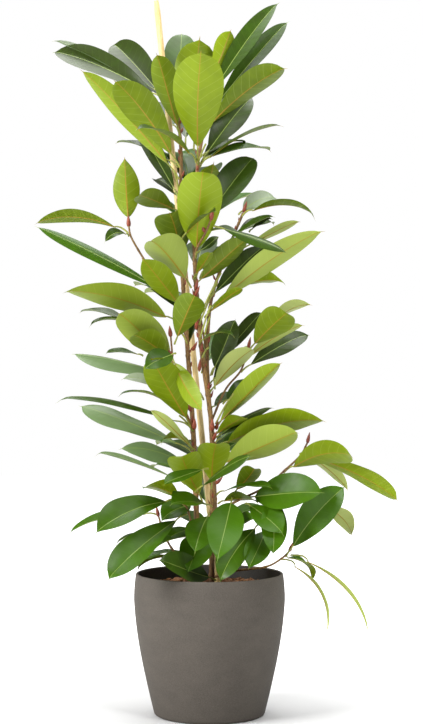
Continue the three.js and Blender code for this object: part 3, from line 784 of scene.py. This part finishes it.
def buds_piece():
    """The closed buds and the dry scales, each a spindle."""
    points, faces = [], []
    for foot, tip, thick in BUDS + stem_scales(random.Random(12)):
        a, b = np.array(foot, float), np.array(tip, float)
        route = [a + (b - a) * s for s in (0, 0.12, 0.3, 0.5, 0.7, 0.88, 1)]
        length = np.linalg.norm(b - a)

        def radius_at(run):
            return thick / 2 * (0.12 + 1.1 * math.sin(math.pi * (run / length) ** 0.6))

        join(points, faces, *tube(route, radius_at, 8))
    made = mesh_object("closed_buds", points, faces)
    made.data.materials.append(bud_skin)
    place(made, "bark")


buds_piece()


def stalks_piece():
    """The loose leaf stalks, each a little bowed."""
    points, faces = [], []
    bow = np.array((0, 0, 3.0))
    for foot, tip in STALKS:
        a, b = np.array(foot, float), np.array(tip, float)
        route = [a + (b - a) * s + bow * math.sin(math.pi * s) for s in np.linspace(0, 1, 9)]
        join(points, faces, *tube(route, lambda run: 1.5, 8))
    made = mesh_object("leaf_stalks", points, faces)
    made.data.materials.append(petiole_skin)
    place(made, "leaf")


stalks_piece()


def stake_piece():
    """The stake: a slightly uneven stick with a worn top."""
    foot, top = np.array(STAKE_FOOT, float), np.array(STAKE_TOP, float)
    route = [foot + (top - foot) * s / 60 for s in range(61)]
    length = float(np.linalg.norm(top - foot))

    def radius_at(run):
        return STAKE_RADIUS * (1 + 0.02 * math.sin(run / 37)) - (1.2 if run > length - 1 else 0)

    stake = mesh_object("stake_wood", *tube(route, radius_at, 20))
    stake.data.materials.append(stake_wood)
    stake.data.set_sharp_from_angle(angle=math.radians(60))
    place(stake, "stake", "stake")


stake_piece()


# --- planter ---

def pot_outside(steps=40):
    """The planter's outline from its foot to its rim: a taper under a round belly."""
    points = [(POT_FOOT_RADIUS - 6, 0), (POT_FOOT_RADIUS - 3.4, 0.4), (POT_FOOT_RADIUS - 1.2, 1.8),
              (POT_FOOT_RADIUS, 4)]
    for i in range(steps + 1):
        t = i / steps
        bulge = t + 0.4 * t * (1 - t) * (1 + 0.8 * t)
        points.append((POT_FOOT_RADIUS + (POT_BELLY_RADIUS - POT_FOOT_RADIUS) * bulge + 0.5 * (1 - t),
                       6 + (POT_BELLY_HEIGHT - 6) * t))
    for i in range(1, 8):
        t = i / 8
        points.append((POT_BELLY_RADIUS - (POT_BELLY_RADIUS - POT_RIM_RADIUS) * t ** 2,
                       POT_BELLY_HEIGHT + (POT_HEIGHT - 2 - POT_BELLY_HEIGHT) * t))
    return points


def pot_piece(sides=160):
    """The planter, turned round its axis: outside, rounded lip and inside."""
    outside = pot_outside()
    rim = POT_RIM_RADIUS
    lip = [(rim - 2.2 + 2.2 * math.cos(a), POT_HEIGHT - 2.2 + 2.2 * math.sin(a))
           for a in (0, 0.4, 0.8, 1.2, 1.57, 1.95, 2.35, 2.75, 3.14)]
    inside = [(r - POT_WALL, z) for r, z in reversed(outside) if z > POT_FLOOR + 2]
    profile = [*outside, *lip, *inside, (POT_FOOT_RADIUS - POT_WALL - 2, POT_FLOOR)]
    points, faces, sides_of = [], [], []
    for r, z in profile:
        for j in range(sides):
            a = 2 * math.pi * j / sides
            points.append((r * math.cos(a), r * math.sin(a), z))
    # The inside faces take the second, darker material: painted shade.
    inner_from = len(outside) + len(lip) - 2
    for i in range(len(profile) - 1):
        for j in range(sides):
            a, b = i * sides + j, i * sides + (j + 1) % sides
            faces.append((a, b, b + sides, a + sides))
            sides_of.append(int(i >= inner_from))
    last = (len(profile) - 1) * sides
    faces += [tuple(range(sides))[::-1], tuple(last + j for j in range(sides))]
    sides_of += [0, 1]
    made = mesh_object("planter", points, faces)
    made.data.polygons.foreach_set("material_index", sides_of)
    made.data.materials.append(pot_stone)
    made.data.materials.append(pot_inside_painted_shade)
    made.data.set_sharp_from_angle(angle=math.radians(50))
    place(made, "pot", "pot")


pot_piece()


def soil_height(x, y):
    """The height of the loose soil at a place, a low mound with waves in it."""
    r = math.hypot(x, y) / 118
    rough = math.sin(x * 0.11 + 1) * math.cos(y * 0.13) + 0.5 * math.sin(x * 0.31 + y * 0.27)
    return SOIL_LEVEL + SOIL_MOUND * (1 - r) + rough * 1.3


def soil_piece(rings=26, sides=72):
    """The soil: its rough surface, and its sides and bottom inside the planter."""
    edge = POT_BELLY_RADIUS - POT_WALL - 1.4
    points = [(0, 0, soil_height(0, 0))]
    for i in range(1, rings + 1):
        r = edge * i / rings
        for j in range(sides):
            a = 2 * math.pi * j / sides
            x, y = r * math.cos(a), r * math.sin(a)
            points.append((x, y, soil_height(x, y)))
    faces = [(0, 1 + j, 1 + (j + 1) % sides) for j in range(sides)]
    for i in range(rings - 1):
        for j in range(sides):
            a, b = 1 + i * sides + j, 1 + i * sides + (j + 1) % sides
            faces.append((a, a + sides, b + sides, b))
    start = len(points)
    for r, z in ((edge - 3, 120), (POT_FOOT_RADIUS - POT_WALL - 5, POT_FLOOR + 1)):
        for j in range(sides):
            a = 2 * math.pi * j / sides
            points.append((r * math.cos(a), r * math.sin(a), z))
    rim = 1 + (rings - 1) * sides
    for lower, upper in ((start, rim), (start + sides, start)):
        for j in range(sides):
            k = (j + 1) % sides
            faces.append((lower + j, lower + k, upper + k, upper + j))
    faces.append(tuple(start + sides + j for j in range(sides))[::-1])
    made = mesh_object("potting_soil", points, faces)
    made.data.materials.append(potting_soil)
    place(made, "soil", "soil")
    return made


soil = soil_piece()


def chip_shape(rng, length, width, thick):
    """A rough split chip: a bent wedge with broken ends."""
    points = []
    for x, w in ((-0.5, 0.55), (-0.2, 1.0), (0.2, 0.9), (0.5, 0.5)):
        for y, z in ((-1, -1), (1, -1), (1, 1), (-1, 1)):
            points.append((x * length + rng.uniform(-1.5, 1.5), y * w * width / 2 * rng.uniform(0.8, 1.1),
                           z * thick / 2 * rng.uniform(0.6, 1.1) + 1.5 * math.cos(x * 3)))
    faces = [(0, 3, 2, 1), (12, 13, 14, 15)]
    for i in range(3):
        for j in range(4):
            a, b = i * 4 + j, i * 4 + (j + 1) % 4
            faces.append((a, b, b + 4, a + 4))
    return mesh_object(f"chip_{length}", points, faces, smooth=False)


def chips_tree(kinds):
    """Scatters the chips over a surface, each turned and sized at random."""
    tree = bpy.data.node_groups.new("scattered_chips", "GeometryNodeTree")
    face = tree.interface
    face.new_socket("Geometry", in_out="INPUT", socket_type="NodeSocketGeometry")
    for label, kind, value in (("Chips per square metre", "NodeSocketFloat", 26000.0),
                               ("Least distance", "NodeSocketFloat", 0.0055), ("Seed", "NodeSocketInt", 7),
                               ("Smallest", "NodeSocketFloat", 0.55), ("Largest", "NodeSocketFloat", 1.15)):
        face.new_socket(label, in_out="INPUT", socket_type=kind).default_value = value
    face.new_socket("Chip material", in_out="INPUT", socket_type="NodeSocketMaterial")
    face.new_socket("Geometry", in_out="OUTPUT", socket_type="NodeSocketGeometry")
    given = add(tree, "NodeGroupInput").outputs
    seed = given["Seed"]
    spots = add(tree, "GeometryNodeDistributePointsOnFaces", {"distribute_method": "POISSON"}, {
        "Mesh": given["Geometry"], "Distance Min": given["Least distance"],
        "Density Max": given["Chips per square metre"], "Seed": seed})
    joined = add(tree, "GeometryNodeJoinGeometry")
    for kind in kinds:
        held = add(tree, "GeometryNodeObjectInfo", {"transform_space": "RELATIVE"}, {
            "Object": kind, "As Instance": True})
        tree.links.new(held.outputs["Geometry"], joined.inputs[0])
    spin = add(tree, "FunctionNodeRandomValue", {"data_type": "FLOAT_VECTOR"}, {
        "Min": (-0.6, -0.6, 0.0), "Max": (0.6, 0.6, 6.28), "Seed": seed})
    size = add(tree, "FunctionNodeRandomValue", {"data_type": "FLOAT"}, {
        2: given["Smallest"], 3: given["Largest"], "Seed": seed})
    laid = add(tree, "GeometryNodeInstanceOnPoints", links={
        "Points": spots.outputs["Points"], "Instance": joined.outputs[0], "Pick Instance": True,
        "Rotation": spin.outputs[0], "Scale": size.outputs[1]})
    real = add(tree, "GeometryNodeRealizeInstances", links={0: laid.outputs[0]})
    dressed = add(tree, "GeometryNodeSetMaterial", links={
        0: real.outputs[0], "Material": given["Chip material"]})
    add(tree, "NodeGroupOutput", links={0: dressed.outputs[0]})
    return tree


def chips_piece():
    """The bark chips, scattered over the soil's surface clear of the planter's wall."""
    rng = random.Random(3)
    kinds = [chip_shape(rng, *size) for size in ((16, 7, 3), (11, 8, 3.5), (20, 6, 2.5), (8, 6, 3))]
    bed = soil.data.copy()
    bed_object = bpy.data.objects.new("chip_bed", bed)
    scene.collection.objects.link(bed_object)
    lows = [f.index for f in bed.polygons if f.normal.z < 0.5 or Vector(f.center.xy).length > 0.112]
    top = bmesh.new()
    top.from_mesh(bed)
    top.faces.ensure_lookup_table()
    bmesh.ops.delete(top, geom=[top.faces[i] for i in lows], context="FACES")
    top.to_mesh(bed)
    top.free()
    change = bed_object.modifiers.new("chips", "NODES")
    change.node_group = chips_tree(kinds)
    ids = {item.name: item.identifier for item in change.node_group.interface.items_tree
           if item.item_type == "SOCKET" and item.in_out == "INPUT"}
    change[ids["Chip material"]] = bark_chip
    made = baked(bed_object, "bark_chips")
    for kind in kinds:
        bpy.data.objects.remove(kind)
    place(made, "soil")


chips_piece()


# --- studio ---

def studio():
    """White paper on the floor with painted light: it glows, not near the planter but more and more away from
    it, so that the floor shows white and only the planter's shadow shows near it.
    """
    turns = np.linspace(0, 2 * math.pi, 65)[:-1]
    rim = [(FLOOR_RADIUS * math.cos(a), FLOOR_RADIUS * math.sin(a), 0) for a in turns]
    paper_floor = mesh_object("paper_floor", rim, [tuple(range(len(rim)))])
    paper, tree, out = material("white_paper_painted_glow")
    here = add(tree, "ShaderNodeTexCoord")
    away = add(tree, "ShaderNodeVectorMath", {"operation": "LENGTH"}, {0: here.outputs["Object"]})
    # Painted light: the paper glows, from nothing at 0.2 m from the planter to full strength at 1.1 m; it is
    # no lamp.
    glow = add(tree, "ShaderNodeMapRange", links={
        "Value": away.outputs["Value"], "From Min": 0.2, "From Max": 1.1, "To Min": 0.0, "To Max": 1.0})
    skin = add(tree, "ShaderNodeBsdfPrincipled", links={
        "Base Color": linear("#cccccc"), "Roughness": 0.9, "Emission Color": linear("#ffffff"),
        "Emission Strength": glow.outputs[0]})
    tree.links.new(skin.outputs[0], out.inputs[0])
    paper_floor.data.materials.append(paper)


def lamp(name, spot, aim, size, power):
    """A square lamp, its place and size in metres."""
    light = bpy.data.lights.new(name, "AREA")
    light.shape, light.size, light.energy = "SQUARE", size, power
    made = bpy.data.objects.new(name, light)
    made.location = spot
    made.rotation_euler = (Vector(aim) - Vector(spot)).to_track_quat("-Z", "Y").to_euler()
    scene.collection.objects.link(made)


studio()
lamp("top_softbox", (0.1, 0.4, 3.1), (0, 0, 0.5), 2.6, 160)
lamp("left_softbox", (-2.6, -1.5, 1.7), (0, 0, 0.5), 1.3, 145)
lamp("right_softbox", (1.8, -2.3, 2.6), (0, 0, 0.5), 1.1, 70)
world = bpy.data.worlds.new("studio_air")
world.use_nodes = True
world.node_tree.nodes.clear()
seen = add(world.node_tree, "ShaderNodeLightPath")
air = add(world.node_tree, "ShaderNodeBackground", links={0: (1, 1, 1, 1), 1: AIR_LIGHT})
backdrop = add(world.node_tree, "ShaderNodeBackground", links={0: (1, 1, 1, 1), 1: 1.0})
mixed = add(world.node_tree, "ShaderNodeMixShader", links={
    0: seen.outputs["Is Camera Ray"], 1: air.outputs[0], 2: backdrop.outputs[0]})
add(world.node_tree, "ShaderNodeOutputWorld", links={0: mixed.outputs[0]})
scene.world = world

camera_data = bpy.data.cameras.new("front_camera")
camera_data.sensor_fit, camera_data.sensor_height, camera_data.lens = "VERTICAL", CAMERA_SENSOR, CAMERA_LENS
camera_data.clip_end = 50
camera = bpy.data.objects.new("front_camera", camera_data)
camera.location = Vector(CAMERA_PLACE) * MM
camera.rotation_euler = (math.pi / 2, 0, 0)
scene.collection.objects.link(camera)
scene.camera = camera
